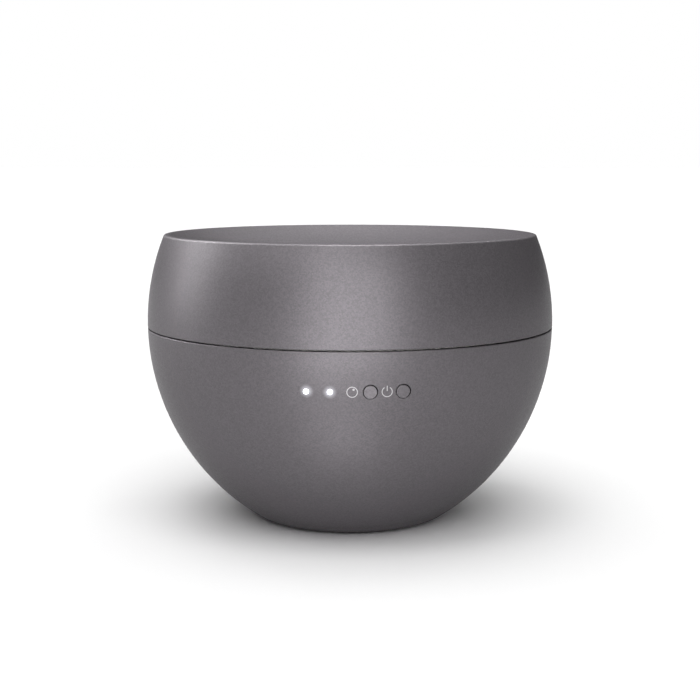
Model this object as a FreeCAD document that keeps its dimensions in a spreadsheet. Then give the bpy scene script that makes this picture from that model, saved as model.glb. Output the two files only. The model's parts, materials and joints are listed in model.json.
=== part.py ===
import FreeCAD, Part
import math
import os
import re

import Sketcher

# A bowl-shaped ultrasonic aroma diffuser. Millimetres, +Z up, front towards -Y. The origin is
# on the vertical axis, at the level that the rubber feet stand on.

DIMENSIONS = {
    # Outline: one circular arc, turned about the vertical axis, gives bowl and cover alike.
    "outline_radius": 92.66,
    "outline_offset": 11.16,
    "outline_height": 78.6,
    "shell_bottom": 1.0,
    "seam_height": 77.47,
    "seam_gap": 0.5,
    "rim_height": 114.1,
    "edge_round": 1.0,
    "dish_edge_round": 0.8,
    "seam_edge_round": 0.3,
    # Cover with its concave top.
    "cover_wall": 2.4,
    "dish_radius": 72.4,
    "dish_depth": 20.0,
    "outlet_radius": 13.5,
    "collar_wall": 2.4,
    "collar_bottom": 86.0,
    "cavity_top": 110.5,
    "rib_count": 8,
    "rib_inner": 70.5,
    "rib_bottom": 82.1,
    "rib_wall": 1.6,
    # Mist guide, pushed up into the cover's collar.
    "guide_outer": 13.3,
    "guide_wall": 1.8,
    "guide_top": 95.8,
    "guide_flange": 17.6,
    "bell_radius": 36.0,
    "bell_bottom": 79.0,
    "bell_neck": 84.0,
    "bell_wall": 1.6,
    "guide_lip_round": 0.7,
    # Water tank: basin, deck and the lip that the cover locates on.
    "deck_top": 76.7,
    "deck_wall": 2.2,
    "deck_radius": 78.4,
    "lip_inner": 76.4,
    "lip_top": 82.0,
    "basin_top": 57.0,
    "basin_floor": 50.0,
    "floor_height": 48.0,
    "well_radius": 15.0,
    "well_floor": 46.6,
    "membrane_window": 7.5,
    "seat_radius": 11.4,
    "seat_height": 44.9,
    "boss_radius": 16.2,
    "boss_bottom": 38.5,
    "duct_place": -36.0,
    "duct_inner": 8.0,
    "duct_outer": 10.0,
    "duct_top": 73.5,
    "tank_screw_ring": 70.0,
    "basin_round": 4.0,
    "basin_edge_round": 1.1,
    "fill_mark": 68.0,
    "fill_mark_width": 1.0,
    "fill_mark_depth": 0.4,
    # Ledge and gasket under the deck.
    "ledge_top": 73.5,
    "ledge_inner": 75.5,
    "ledge_thick": 2.0,
    "ledge_root": 4.0,
    "gasket_inner": 75.7,
    "gasket_outer": 78.2,
    # Membrane stack.
    "membrane_radius": 10.0,
    "membrane_thick": 0.65,
    "membrane_bottom": 43.3,
    "seal_outer": 11.2,
    "seal_inner": 7.5,
    "seal_bottom": 42.4,
    "retainer_thick": 2.1,
    "retainer_inner": 6.5,
    "retainer_spigot": 11.1,
    "retainer_ring": 13.8,
    "seal_play": 0.02,
    # Lower bowl.
    "bowl_wall": 2.5,
    "base_opening": 36.0,
    "base_ledge": 29.0,
    "base_top": 4.0,
    "base_ledge_top": 6.5,
    "base_screw_ring": 32.2,
    "base_boss_top": 16.0,
    "boss_wall": 3.2,
    "column_bottom": 42.0,
    "web_bottom": 52.0,
    "frame_boss": 2.8,
    "frame_boss_left": -11.0,
    "frame_boss_high": 70.2,
    "frame_boss_right": 12.0,
    "frame_boss_low": 54.8,
    # Base plate and feet.
    "plate_radius": 35.6,
    "plate_bottom": 1.5,
    "foot_ring": 28.5,
    "foot_radius": 5.0,
    "foot_recess": 0.8,
    "slot_width": 2.4,
    "slot_pitch": 5.0,
    "slot_field": 17.0,
    "fan_post": 1.5,
    "fan_post_radius": 2.8,
    "slots_each_side": 3,
    "head_recess": 3.0,
    "head_recess_depth": 1.2,
    # Fan.
    "fan_width": 40.0,
    "fan_depth": 10.0,
    "fan_bore": 18.9,
    "fan_spacing": 32.0,
    "hub_radius": 9.3,
    "hub_wall": 1.3,
    "spider_thick": 2.0,
    "strut_width": 2.2,
    "blade_count": 7,
    "blade_reach": 17.6,
    "blade_width": 1.56,
    "shaft_radius": 0.75,
    "shaft_play": 0.05,
    "sleeve_outer": 1.9,
    "sleeve_tube": 2.7,
    "sleeve_rise": 2.6,
    "sleeve_cap": 1.0,
    "strut_count": 4,
    "fan_hole": 1.7,
    "rotor_rise": 0.8,
    "rotor_gap": 0.5,
    "stator_rise": 3.2,
    "core_radius": 4.4,
    "pole_count": 4,
    "pole_half": 1.5,
    "pole_inner": 3.6,
    "pole_outer": 7.1,
    "blade_half": 3.6,
    "shaft_end": 1.6,
    # Controls, all on axes parallel to Y.
    "control_height": 62.9,
    "first_lamp": -15.45,
    "second_lamp": -7.03,
    "interval_place": 7.17,
    "power_place": 18.74,
    "button_hole": 2.7,
    "button_radius": 2.4,
    "button_sink": 0.05,
    "cap_drop": 0.2,
    "cap_round": 0.15,
    "collar_radius": 3.3,
    "collar_back": 72.4,
    "collar_thick": 1.2,
    "stem_radius": 1.6,
    "stem_back": 67.4,
    "cap_length": 10.0,
    "cut_half": 6.0,
    "lamp_radius": 1.0,
    "frame_front": 70.0,
    "frame_thick": 1.6,
    "frame_post": 2.6,
    "guide_radius": 3.0,
    "guide_play": 0.3,
    "guide_front": 71.8,
    "board_front": 63.2,
    "board_thick": 1.6,
    "panel_left": -19.5,
    "panel_right": 23.5,
    "panel_bottom": 51.6,
    "panel_top": 72.8,
    "switch_width": 6.0,
    "switch_depth": 3.4,
    "plunger_radius": 1.7,
    "plunger_well": 1.8,
    "plunger_depth": 1.2,
    "lamp_block": 1.9,
    "lamp_half_width": 1.75,
    "lamp_half_height": 1.4,
    "bar_half": 1.5,
    "bar_thick": 1.6,
    "plug_left": -12.0,
    "plug_right": -4.0,
    "plug_bottom": 53.0,
    "plug_top": 57.4,
    "plug_depth": 4.8,
    # Main board, hung under the tank floor.
    "main_front": 19.0,
    "main_back": 50.0,
    "main_half": 25.0,
    "main_top": 34.0,
    "post_side": 20.5,
    "post_front": 23.0,
    "post_back": 46.0,
    "post_radius": 2.9,
    # What the main board carries.
    "coil_across": -9.0,
    "coil_along": 27.5,
    "coil_radius": 4.6,
    "coil_height": 6.0,
    "coil_flange": 5.4,
    "coil_flange_thick": 1.0,
    "sink_left": 3.0,
    "sink_right": 15.0,
    "sink_front": 21.5,
    "sink_back": 30.4,
    "sink_height": 11.0,
    "sink_web": 1.8,
    "fin_count": 5,
    "fin_thick": 1.2,
    "fin_gap": 1.4,
    "transistor_left": 4.0,
    "transistor_right": 14.0,
    "transistor_front": 30.6,
    "transistor_back": 35.0,
    "transistor_height": 12.0,
    "can_left": -16.0,
    "can_left_along": 37.5,
    "can_right": -8.4,
    "can_right_along": 38.5,
    "can_radius": 3.2,
    "can_height": 9.0,
    "chip_left": -2.0,
    "chip_right": 4.0,
    "chip_front": 37.0,
    "chip_back": 42.0,
    "chip_height": 1.7,
    "header_side": 4.8,
    "header_height": 5.5,
    "wire_radius": 0.7,
    # Supply socket at the back.
    "socket_height": 24.0,
    "socket_recess": 7.0,
    "socket_boss": 9.2,
    "socket_floor": 57.4,
    "socket_wall": 2.5,
    "socket_hole": 4.1,
    "barrel_radius": 3.9,
    "barrel_front": 59.9,
    "barrel_bore": 2.85,
    "barrel_depth": 9.5,
    "socket_back": 44.0,
    "socket_width": 10.5,
    "pin_radius": 1.0,
    "pin_root": 0.8,
    "pin_front": 59.0,
    "pin_start": 2.2,
    "barrel_root": 0.5,
    "nut_thick": 2.0,
    "nut_flat": 5.0,
    # Fits and fasteners.
    "clearance": 0.1,
    "press_gap": 0.03,
    "close_gap": 0.05,
    "screw_radius": 1.4,
    "small_screw": 1.0,
    "tank_screw_length": 12.0,
    "tank_hole_depth": 12.0,
    "base_screw_length": 10.0,
    "base_hole_depth": 9.0,
    "fan_screw_length": 12.0,
    "fan_hole_depth": 2.6,
    "retainer_screw_length": 7.0,
    "retainer_hole_depth": 5.5,
    "board_screw_length": 8.0,
    "post_hole_depth": 8.0,
    "frame_screw_length": 11.0,
    "frame_hole_depth": 5.0,
    "head_ratio": 1.9,
    "head_height_ratio": 1.1,
    "recess_ratio": 1.1,
    "recess_width_ratio": 0.22,
    "recess_depth_ratio": 0.6,
    # Cuts: how far one reaches past a face, and a length that goes through any wall.
    "overcut": 1.0,
    "through": 20.0,
}

document = FreeCAD.newDocument("AromaDiffuser")
sheet = document.addObject("Spreadsheet::Sheet", "Dimensions")
for row, (alias, size) in enumerate(DIMENSIONS.items(), 1):
    sheet.set(f"A{row}", alias)
    sheet.set(f"B{row}", str(size))
    sheet.setAlias(f"B{row}", alias)
document.recompute()

SEAM_TOP = "(seam_height + seam_gap / 2)"
SEAM_BOTTOM = "(seam_height - seam_gap / 2)"
DISH_SPHERE = "((dish_radius^2 + dish_depth^2) / (2 * dish_depth))"
DISH_CENTRE = f"(rim_height - dish_depth + {DISH_SPHERE})"
DECK_BOTTOM = "(deck_top - deck_wall)"
FLOOR_BOTTOM = "(floor_height - deck_wall)"
RETAINER_TOP = "(boss_bottom - clearance)"
MAIN_BOTTOM = "(main_top - board_thick)"
FAN_BOTTOM = "(base_top + fan_post)"
FAN_TOP = f"({FAN_BOTTOM} + fan_depth)"
SPIDER_BOTTOM = f"({FAN_TOP} - spider_thick)"

sub_parts = []


# ---- helpers -------------------------------------------------------------------------------


def bound(expression):
    """The expression with each dimension's name pointing at its cell."""
    return re.sub(
        r"[a-z][a-z_]+",
        lambda word: "Dimensions." + word[0] if word[0] in DIMENSIONS else word[0],
        str(expression),
    )


def number(expression):
    """The expression's value now."""
    return float(sheet.evalExpression(bound(expression)))


def outline_at(height, inset="0"):
    """Radius of the outline at a height, moved inwards along its normal by the inset."""
    return f"(sqrt((outline_radius - {inset})^2 - ({height} - outline_height)^2) - outline_offset)"


def dish_at(radius, below="0"):
    """Height of the dish at a radius, moved down along its normal."""
    return f"({DISH_CENTRE} - sqrt(({DISH_SPHERE} + {below})^2 - ({radius})^2))"


def ring(count, radius, first=0):
    """Evenly spaced places on a circle."""
    turns = [first + 360 / count * index for index in range(count)]
    return [(f"{radius} * cos({turn} deg)", f"{radius} * sin({turn} deg)") for turn in turns]


def rectangle(left, bottom, right, top):
    return [(left, bottom), (right, bottom), (right, top), (left, top)]


def new_body(name, label=None):
    """A body; one that has a label is a sub-part and is written under that name."""
    body = document.addObject("PartDesign::Body", name)
    body.AllowCompound = True
    if label:
        body.Label = label
        sub_parts.append(body)
    return body


def new_sketch(body, role="XY_Plane", shift="0"):
    """A sketch on one of the body's own planes, moved along the plane's normal.

    The XZ plane's normal points to -Y and its sketch reads X to the right and Z up.
    """
    plane = next(item for item in body.Origin.OriginFeatures if item.Role == role)
    sketch = body.newObject("Sketcher::SketchObject", "Sketch")
    sketch.AttachmentSupport = (plane, [""])
    sketch.MapMode = "FlatFace"
    sketch.setExpression("AttachmentOffset.Base.z", bound(shift))
    return sketch


def fix_point(sketch, geometry, point, place):
    """Hold one point of a sketch's geometry at a pair of expressions."""
    for kind, expression in zip(("DistanceX", "DistanceY"), place):
        size = number(expression)
        index = sketch.addConstraint(Sketcher.Constraint(kind, -1, 1, geometry, point, size))
        sketch.setExpression(f"Constraints[{index}]", bound(expression))


def arc_edge(start, end, radius, side):
    """The shorter arc between two points; side is 1 to bulge to the right of the way, -1 left."""
    chord = end - start
    middle = (start + end) * 0.5
    right = FreeCAD.Vector(chord.y, -chord.x, 0).normalize() * side
    rise = radius - math.sqrt(radius**2 - (chord.Length / 2) ** 2)
    return Part.Arc(start, middle + right * rise, end)


def draw_outline(sketch, places, arcs=None):
    """A closed outline through places; arcs gives {first place's index: (radius, side)}."""
    arcs = arcs or {}
    points = [FreeCAD.Vector(number(x), number(y), 0) for x, y in places]
    first = sketch.GeometryCount
    ends = {}
    for index, start in enumerate(points):
        end = points[(index + 1) % len(points)]
        if index in arcs:
            radius, side = arcs[index]
            edge = arc_edge(start, end, number(radius), side)
            geometry = sketch.addGeometry(edge)
            counterclockwise = sketch.getPoint(geometry, 1).distanceToPoint(start) < 1e-6
            ends[index] = (1, 2) if counterclockwise else (2, 1)
        else:
            sketch.addGeometry(Part.LineSegment(start, end))
            ends[index] = (1, 2)
    for index in range(len(places)):
        following = (index + 1) % len(places)
        sketch.addConstraint(
            Sketcher.Constraint(
                "Coincident", first + index, ends[index][1], first + following, ends[following][0]
            )
        )
    for index, place in enumerate(places):
        fix_point(sketch, first + index, ends[index][0], place)
    for index, (radius, _) in arcs.items():
        constraint = sketch.addConstraint(
            Sketcher.Constraint("Radius", first + index, number(radius))
        )
        sketch.setExpression(f"Constraints[{constraint}]", bound(radius))


def draw_circles(sketch, places, radius):
    for x, y in places:
        centre = FreeCAD.Vector(number(x), number(y), 0)
        circle = Part.Circle(centre, FreeCAD.Vector(0, 0, 1), number(radius))
        geometry = sketch.addGeometry(circle)
        fix_point(sketch, geometry, 3, (x, y))
        index = sketch.addConstraint(Sketcher.Constraint("Radius", geometry, number(radius)))
        sketch.setExpression(f"Constraints[{index}]", bound(radius))


def extrude(body, sketch, length, kind="Pad", backwards=False):
    """A pad or a pocket. A pad goes along the sketch's normal and a pocket against it."""
    feature = body.newObject("PartDesign::" + kind, kind)
    feature.Profile = sketch
    feature.Reversed = backwards
    feature.setExpression("Length", bound(length))
    sketch.Visibility = False
    document.recompute()
    return feature


def turn(body, sketch, kind="Revolution"):
    """A full revolution or groove about the vertical axis."""
    feature = body.newObject("PartDesign::" + kind, kind)
    feature.Profile = sketch
    feature.ReferenceAxis = (sketch, ["V_Axis"])
    feature.Angle = 360
    document.recompute()
    return feature


def turned(body, places, arcs=None, kind="Revolution"):
    sketch = new_sketch(body, "XZ_Plane")
    draw_outline(sketch, places, arcs)
    return turn(body, sketch, kind)


def cylinders(body, places, radius, start, length, kind="Pad", role="XY_Plane", backwards=False):
    """Round posts or holes on one plane, from start over the length."""
    sketch = new_sketch(body, role, start)
    draw_circles(sketch, places, radius)
    return extrude(body, sketch, length, kind, backwards)


def prism(body, places, start, length, kind="Pad", role="XY_Plane", backwards=False):
    """A straight block, or a straight cut, with the outline through the places."""
    sketch = new_sketch(body, role, start)
    draw_outline(sketch, places)
    return extrude(body, sketch, length, kind, backwards)


def repeat_round(body, feature, count):
    """The feature repeated around the vertical axis."""
    pattern = body.newObject("PartDesign::PolarPattern", "PolarPattern")
    pattern.Originals = [feature]
    plane = next(item for item in body.Origin.OriginFeatures if item.Role == "Z_Axis")
    pattern.Axis = (plane, [""])
    pattern.Angle = 360
    pattern.setExpression("Occurrences", bound(count))
    body.Tip = pattern
    document.recompute()
    return pattern


def subtract(body, tool):
    """The body with another body cut out of it."""
    cut = body.newObject("PartDesign::Boolean", "Boolean")
    cut.Type = "Cut"
    cut.addObject(tool)
    body.Tip = cut
    document.recompute()
    return cut


def round_edges(body, circles, radius):
    """Fillet the circular edges about the vertical axis at (radius, height) pairs."""
    base = body.Tip
    wanted = [(number(across), number(up)) for across, up in circles]
    names = []
    for index, edge in enumerate(base.Shape.Edges, 1):
        curve = edge.Curve
        if not isinstance(curve, Part.Circle):
            continue
        spot = (curve.Radius, curve.Center.z)
        on_axis = math.hypot(curve.Center.x, curve.Center.y) < 1e-6
        if on_axis and any(math.dist(spot, target) < 0.01 for target in wanted):
            names.append(f"Edge{index}")
    fillet = body.newObject("PartDesign::Fillet", "Fillet")
    fillet.Base = (base, names)
    fillet.setExpression("Radius", bound(radius))
    document.recompute()
    return fillet


def screws(name, places, seat, length, radius, role="XY_Plane", head_below=False):
    """Pan-head screws with a cross recess; seat is where the underside of the heads lies.

    With the head below, the shank goes along the plane's normal, otherwise against it.
    """
    body = new_body(name, name)
    head = f"({radius} * head_height_ratio)"
    way = 1 if head_below else -1
    cylinders(body, places, radius, seat, length, role=role, backwards=not head_below)
    cylinders(body, places, f"{radius} * head_ratio", seat, head, role=role, backwards=head_below)
    sketch = new_sketch(body, role, f"{seat} - {way} * {head}")
    for x, y in places:
        long, short = f"{radius} * recess_ratio", f"{radius} * recess_width_ratio"
        corners = [
            (long, short), (short, short), (short, long), (f"-{short}", long),
            (f"-{short}", short), (f"-{long}", short), (f"-{long}", f"-{short}"),
            (f"-{short}", f"-{short}"), (f"-{short}", f"-{long}"), (short, f"-{long}"),
            (short, f"-{short}"), (long, f"-{short}"),
        ]
        draw_outline(sketch, [(f"{x} + {across}", f"{y} + {up}") for across, up in corners])
    extrude(body, sketch, f"{head} * recess_depth_ratio", "Pocket", backwards=head_below)
    return body


# ---- cover ---------------------------------------------------------------------------------


def upper_cover():
    """Ring-shaped wall and concave top in one moulding, hollow below, with support ribs."""
    cavity = new_body("CoverCavity")
    turned(
        cavity,
        [
            ("outlet_radius - overcut", f"{SEAM_TOP} - overcut"),
            (outline_at(SEAM_TOP, "cover_wall"), f"{SEAM_TOP} - overcut"),
            (outline_at(SEAM_TOP, "cover_wall"), SEAM_TOP),
            (outline_at("cavity_top", "cover_wall"), "cavity_top"),
            (
                f"sqrt(({DISH_SPHERE} + cover_wall)^2 - ({DISH_CENTRE} - cavity_top)^2)",
                "cavity_top",
            ),
            (
                "outlet_radius + collar_wall",
                dish_at("outlet_radius + collar_wall", "cover_wall"),
            ),
            ("outlet_radius + collar_wall", "collar_bottom"),
            ("outlet_radius - overcut", "collar_bottom"),
        ],
        {2: ("outline_radius - cover_wall", 1), 4: (f"{DISH_SPHERE} + cover_wall", -1)},
    )
    rib = prism(
        cavity,
        rectangle("rib_inner", "rib_bottom", "outline_radius", "rim_height"),
        "-rib_wall / 2",
        "rib_wall",
        "Pocket",
        "XZ_Plane",
        backwards=True,
    )
    repeat_round(cavity, rib, "rib_count")

    cover = new_body("UpperCover", "upper_cover")
    turned(
        cover,
        [
            ("outlet_radius", SEAM_TOP),
            (outline_at(SEAM_TOP), SEAM_TOP),
            (outline_at("rim_height"), "rim_height"),
            ("dish_radius", "rim_height"),
            ("outlet_radius", dish_at("outlet_radius")),
        ],
        {1: ("outline_radius", 1), 3: (DISH_SPHERE, -1)},
    )
    round_edges(cover, [(outline_at("rim_height"), "rim_height")], "edge_round")
    round_edges(cover, [("dish_radius", "rim_height")], "dish_edge_round")
    round_edges(cover, [(outline_at(SEAM_TOP), SEAM_TOP)], "seam_edge_round")
    subtract(cover, cavity)


def mist_guide():
    """Funnel that carries the mist from the tank up through the dish's outlet."""
    inner = "(guide_outer - guide_wall)"
    flange_top = "(collar_bottom - clearance)"
    body = new_body("MistGuide", "mist_guide")
    turned(
        body,
        [
            (inner, "bell_neck"),
            (inner, "guide_top"),
            ("guide_outer", "guide_top"),
            ("guide_outer", flange_top),
            ("guide_flange", flange_top),
            ("guide_flange", "bell_neck"),
            ("bell_radius", "bell_bottom + bell_wall"),
            ("bell_radius", "bell_bottom"),
        ],
    )
    lip = [(inner, "guide_top"), ("guide_outer", "guide_top")]
    round_edges(body, lip, "guide_lip_round")


# ---- tank and membrane ---------------------------------------------------------------------


def main_posts():
    return [
        (f"{side} * post_side", depth)
        for side in (-1, 1)
        for depth in ("post_front", "post_back")
    ]


def water_tank():
    """Basin with deck, lip and fill mark, air duct, membrane seat and the board's posts."""
    body = new_body("WaterTank", "water_tank")
    turned(
        body,
        [
            ("membrane_window", "seat_height"),
            ("seat_radius", "seat_height"),
            ("seat_radius", "boss_bottom"),
            ("boss_radius", "boss_bottom"),
            ("boss_radius", FLOOR_BOTTOM),
            ("basin_floor + deck_wall", FLOOR_BOTTOM),
            ("basin_top + deck_wall", DECK_BOTTOM),
            ("deck_radius", DECK_BOTTOM),
            ("deck_radius", "lip_top"),
            ("lip_inner", "lip_top"),
            ("lip_inner", "deck_top"),
            ("basin_top", "deck_top"),
            ("basin_floor", "floor_height"),
            ("well_radius", "floor_height"),
            ("(well_radius + membrane_window) / 2", "well_floor"),
            ("membrane_window", "well_floor"),
        ],
    )
    round_edges(body, [("basin_floor", "floor_height")], "basin_round")
    round_edges(body, [("basin_floor + deck_wall", FLOOR_BOTTOM)], "basin_round")
    round_edges(body, [("basin_top", "deck_top")], "basin_edge_round")
    duct = [("duct_place", "0")]
    cylinders(body, duct, "duct_outer", FLOOR_BOTTOM, f"duct_top - {FLOOR_BOTTOM}")
    cylinders(body, duct, "duct_inner", "duct_top", f"duct_top - {FLOOR_BOTTOM}", "Pocket")
    post = f"{FLOOR_BOTTOM} - main_top - clearance"
    cylinders(body, main_posts(), "post_radius", "main_top + clearance", post)
    cylinders(
        body,
        main_posts(),
        "small_screw + close_gap",
        "main_top + clearance",
        "post_hole_depth",
        "Pocket",
        backwards=True,
    )
    cylinders(
        body,
        ring(3, "retainer_ring", 30),
        "small_screw + close_gap",
        "boss_bottom",
        "retainer_hole_depth",
        "Pocket",
        backwards=True,
    )
    cylinders(
        body,
        ring(4, "tank_screw_ring", 45),
        "screw_radius + clearance",
        "deck_top",
        "deck_wall",
        "Pocket",
    )
    slope = "((basin_top - basin_floor) / (deck_top - floor_height))"
    low = f"(basin_floor + {slope} * (fill_mark - floor_height))"
    high = f"({low} + {slope} * fill_mark_width)"
    turned(
        body,
        [
            (f"{low} - overcut", "fill_mark"),
            (f"{low} + fill_mark_depth", "fill_mark"),
            (f"{high} + fill_mark_depth", "fill_mark + fill_mark_width"),
            (f"{high} - overcut", "fill_mark + fill_mark_width"),
        ],
        kind="Groove",
    )


def tank_gasket():
    """Foam ring between the bowl's ledge and the tank's deck."""
    body = new_body("TankGasket", "tank_gasket")
    height = f"{DECK_BOTTOM} - ledge_top - clearance"
    centre = [("0", "0")]
    cylinders(body, centre, "gasket_outer", "ledge_top", height)
    cylinders(body, centre, "gasket_inner", "ledge_top", height, "Pocket", backwards=True)


def membrane_seal():
    """Silicone ring with a groove that holds the membrane's edge."""
    body = new_body("MembraneSeal", "membrane_seal")
    groove = "(membrane_radius + close_gap)"
    slot_bottom = "(membrane_bottom - seal_play)"
    slot_top = "(membrane_bottom + membrane_thick + seal_play)"
    top = "(seat_height - clearance)"
    turned(
        body,
        [
            ("seal_inner", "seal_bottom"),
            ("seal_outer", "seal_bottom"),
            ("seal_outer", top),
            ("seal_inner", top),
            ("seal_inner", slot_top),
            (groove, slot_top),
            (groove, slot_bottom),
            ("seal_inner", slot_bottom),
        ],
    )


def ultrasonic_membrane():
    """Piezo disc that turns the water into mist."""
    body = new_body("UltrasonicMembrane", "ultrasonic_membrane")
    cylinders(body, [("0", "0")], "membrane_radius", "membrane_bottom", "membrane_thick")


def membrane_retainer():
    """Plate with a spigot that presses the seal into its seat."""
    body = new_body("MembraneRetainer", "membrane_retainer")
    turned(
        body,
        [
            ("retainer_inner", f"{RETAINER_TOP} - retainer_thick"),
            ("boss_radius", f"{RETAINER_TOP} - retainer_thick"),
            ("boss_radius", RETAINER_TOP),
            ("retainer_spigot", RETAINER_TOP),
            ("retainer_spigot", "seal_bottom - clearance"),
            ("retainer_inner", "seal_bottom - clearance"),
        ],
    )
    cylinders(
        body,
        ring(3, "retainer_ring", 30),
        "small_screw + clearance",
        RETAINER_TOP,
        "retainer_thick",
        "Pocket",
    )


# ---- lower bowl and base -------------------------------------------------------------------


def frame_bosses():
    return [("frame_boss_left", "frame_boss_high"), ("frame_boss_right", "frame_boss_low")]


def lower_bowl():
    """Outer shell with its screw bosses, the control openings and the socket's recess."""
    cavity = new_body("BowlCavity")
    turned(
        cavity,
        [
            ("0", "0"),
            ("base_opening", "0"),
            ("base_opening", "base_top"),
            ("base_ledge", "base_top"),
            ("base_ledge", "base_ledge_top"),
            (outline_at("base_ledge_top", "bowl_wall"), "base_ledge_top"),
            (outline_at("(ledge_top - ledge_root)", "bowl_wall"), "ledge_top - ledge_root"),
            ("ledge_inner", "ledge_top - ledge_thick"),
            ("ledge_inner", "ledge_top"),
            (outline_at("ledge_top", "bowl_wall"), "ledge_top"),
            (outline_at("ledge_top", "bowl_wall"), "seam_height + overcut"),
            ("0", "seam_height + overcut"),
        ],
        {5: ("outline_radius - bowl_wall", 1)},
    )
    base_bosses = ring(4, "base_screw_ring")
    cylinders(
        cavity,
        base_bosses,
        "boss_wall",
        "base_boss_top",
        "base_boss_top - base_ledge_top",
        "Pocket",
    )
    column_top = f"({DECK_BOTTOM} - clearance)"
    columns = ring(4, "tank_screw_ring", 45)
    cylinders(
        cavity, columns, "boss_wall", column_top, f"{column_top} - column_bottom", "Pocket"
    )
    web = new_sketch(cavity, "XY_Plane", "ledge_top")
    for turn_angle in (45, 135, 225, 315):
        along = (f"cos({turn_angle} deg)", f"sin({turn_angle} deg)")
        corners = [
            ("(tank_screw_ring + boss_wall / 2)", -1),
            ("(tank_screw_ring + boss_wall * 2)", -1),
            ("(tank_screw_ring + boss_wall * 2)", 1),
            ("(tank_screw_ring + boss_wall / 2)", 1),
        ]
        draw_outline(
            web,
            [
                (
                    f"{reach} * {along[0]} - {side} * rib_wall / 2 * {along[1]}",
                    f"{reach} * {along[1]} + {side} * rib_wall / 2 * {along[0]}",
                )
                for reach, side in corners
            ],
        )
    extrude(cavity, web, "ledge_top - web_bottom", "Pocket")
    cylinders(
        cavity,
        frame_bosses(),
        "frame_boss",
        "frame_front + close_gap",
        "through",
        "Pocket",
        "XZ_Plane",
        True,
    )
    socket = [("0", "socket_height")]
    cylinders(
        cavity,
        socket,
        "socket_boss",
        "socket_wall - socket_floor",
        "through",
        "Pocket",
        "XZ_Plane",
    )

    bowl = new_body("LowerBowl", "lower_bowl")
    turned(
        bowl,
        [
            ("0", "shell_bottom"),
            (outline_at("shell_bottom"), "shell_bottom"),
            (outline_at(SEAM_BOTTOM), SEAM_BOTTOM),
            ("0", SEAM_BOTTOM),
        ],
        {1: ("outline_radius", 1)},
    )
    round_edges(bowl, [(outline_at("shell_bottom"), "shell_bottom")], "edge_round")
    round_edges(bowl, [(outline_at(SEAM_BOTTOM), SEAM_BOTTOM)], "seam_edge_round")
    subtract(bowl, cavity)
    cylinders(bowl, socket, "socket_recess", "-socket_floor", "through", "Pocket", "XZ_Plane")
    cylinders(
        bowl,
        socket,
        "socket_hole",
        "socket_wall - socket_floor + overcut",
        "through",
        "Pocket",
        "XZ_Plane",
    )
    buttons = [("interval_place", "control_height"), ("power_place", "control_height")]
    lamps = [("first_lamp", "control_height"), ("second_lamp", "control_height")]
    for spots, radius in ((buttons, "button_hole"), (lamps, "lamp_radius + close_gap")):
        cylinders(bowl, spots, radius, "frame_front", "through", "Pocket", "XZ_Plane", True)
    cylinders(
        bowl,
        frame_bosses(),
        "small_screw + close_gap",
        "frame_front",
        "frame_hole_depth",
        "Pocket",
        "XZ_Plane",
        True,
    )
    cylinders(
        bowl,
        base_bosses,
        "screw_radius + close_gap",
        "base_top",
        "base_hole_depth",
        "Pocket",
        backwards=True,
    )
    cylinders(
        bowl, columns, "screw_radius + close_gap", column_top, "tank_hole_depth", "Pocket"
    )


def base_plate():
    """Round plate with the air intake slots, the fan's posts and recesses for the feet."""
    body = new_body("BasePlate", "base_plate")
    thick = "(base_top - clearance - plate_bottom)"
    cylinders(body, [("0", "0")], "plate_radius", "plate_bottom", thick)
    fan_corners = ring(4, "(fan_spacing / sqrt(2))", 45)
    cylinders(body, fan_corners, "fan_post_radius", "base_top - clearance", "fan_post")
    cylinders(
        body,
        fan_corners,
        "screw_radius + close_gap",
        "base_top - clearance + fan_post",
        "fan_hole_depth",
        "Pocket",
    )
    cylinders(
        body,
        ring(4, "foot_ring", 45),
        "foot_radius + clearance",
        "plate_bottom",
        "foot_recess",
        "Pocket",
        backwards=True,
    )
    base_screws = ring(4, "base_screw_ring")
    cylinders(
        body,
        base_screws,
        "screw_radius + clearance",
        "plate_bottom",
        thick,
        "Pocket",
        backwards=True,
    )
    cylinders(
        body,
        base_screws,
        "head_recess",
        "plate_bottom",
        "head_recess_depth",
        "Pocket",
        backwards=True,
    )
    slots = new_sketch(body, "XY_Plane", "plate_bottom")
    aside = int(number("slots_each_side"))
    for index in range(-aside, aside + 1):
        middle = f"{index} * slot_pitch"
        half = f"sqrt(slot_field^2 - ({middle})^2)"
        draw_outline(
            slots,
            rectangle(
                f"{middle} - slot_width / 2",
                f"-{half}",
                f"{middle} + slot_width / 2",
                half,
            ),
        )
    extrude(body, slots, thick, "Pocket", backwards=True)


def rubber_feet():
    """Four rubber discs, glued into the base plate."""
    body = new_body("RubberFeet", "rubber_feet")
    height = "plate_bottom + foot_recess - close_gap"
    cylinders(body, ring(4, "foot_ring", 45), "foot_radius", "0", height)


# ---- fan -----------------------------------------------------------------------------------


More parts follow.
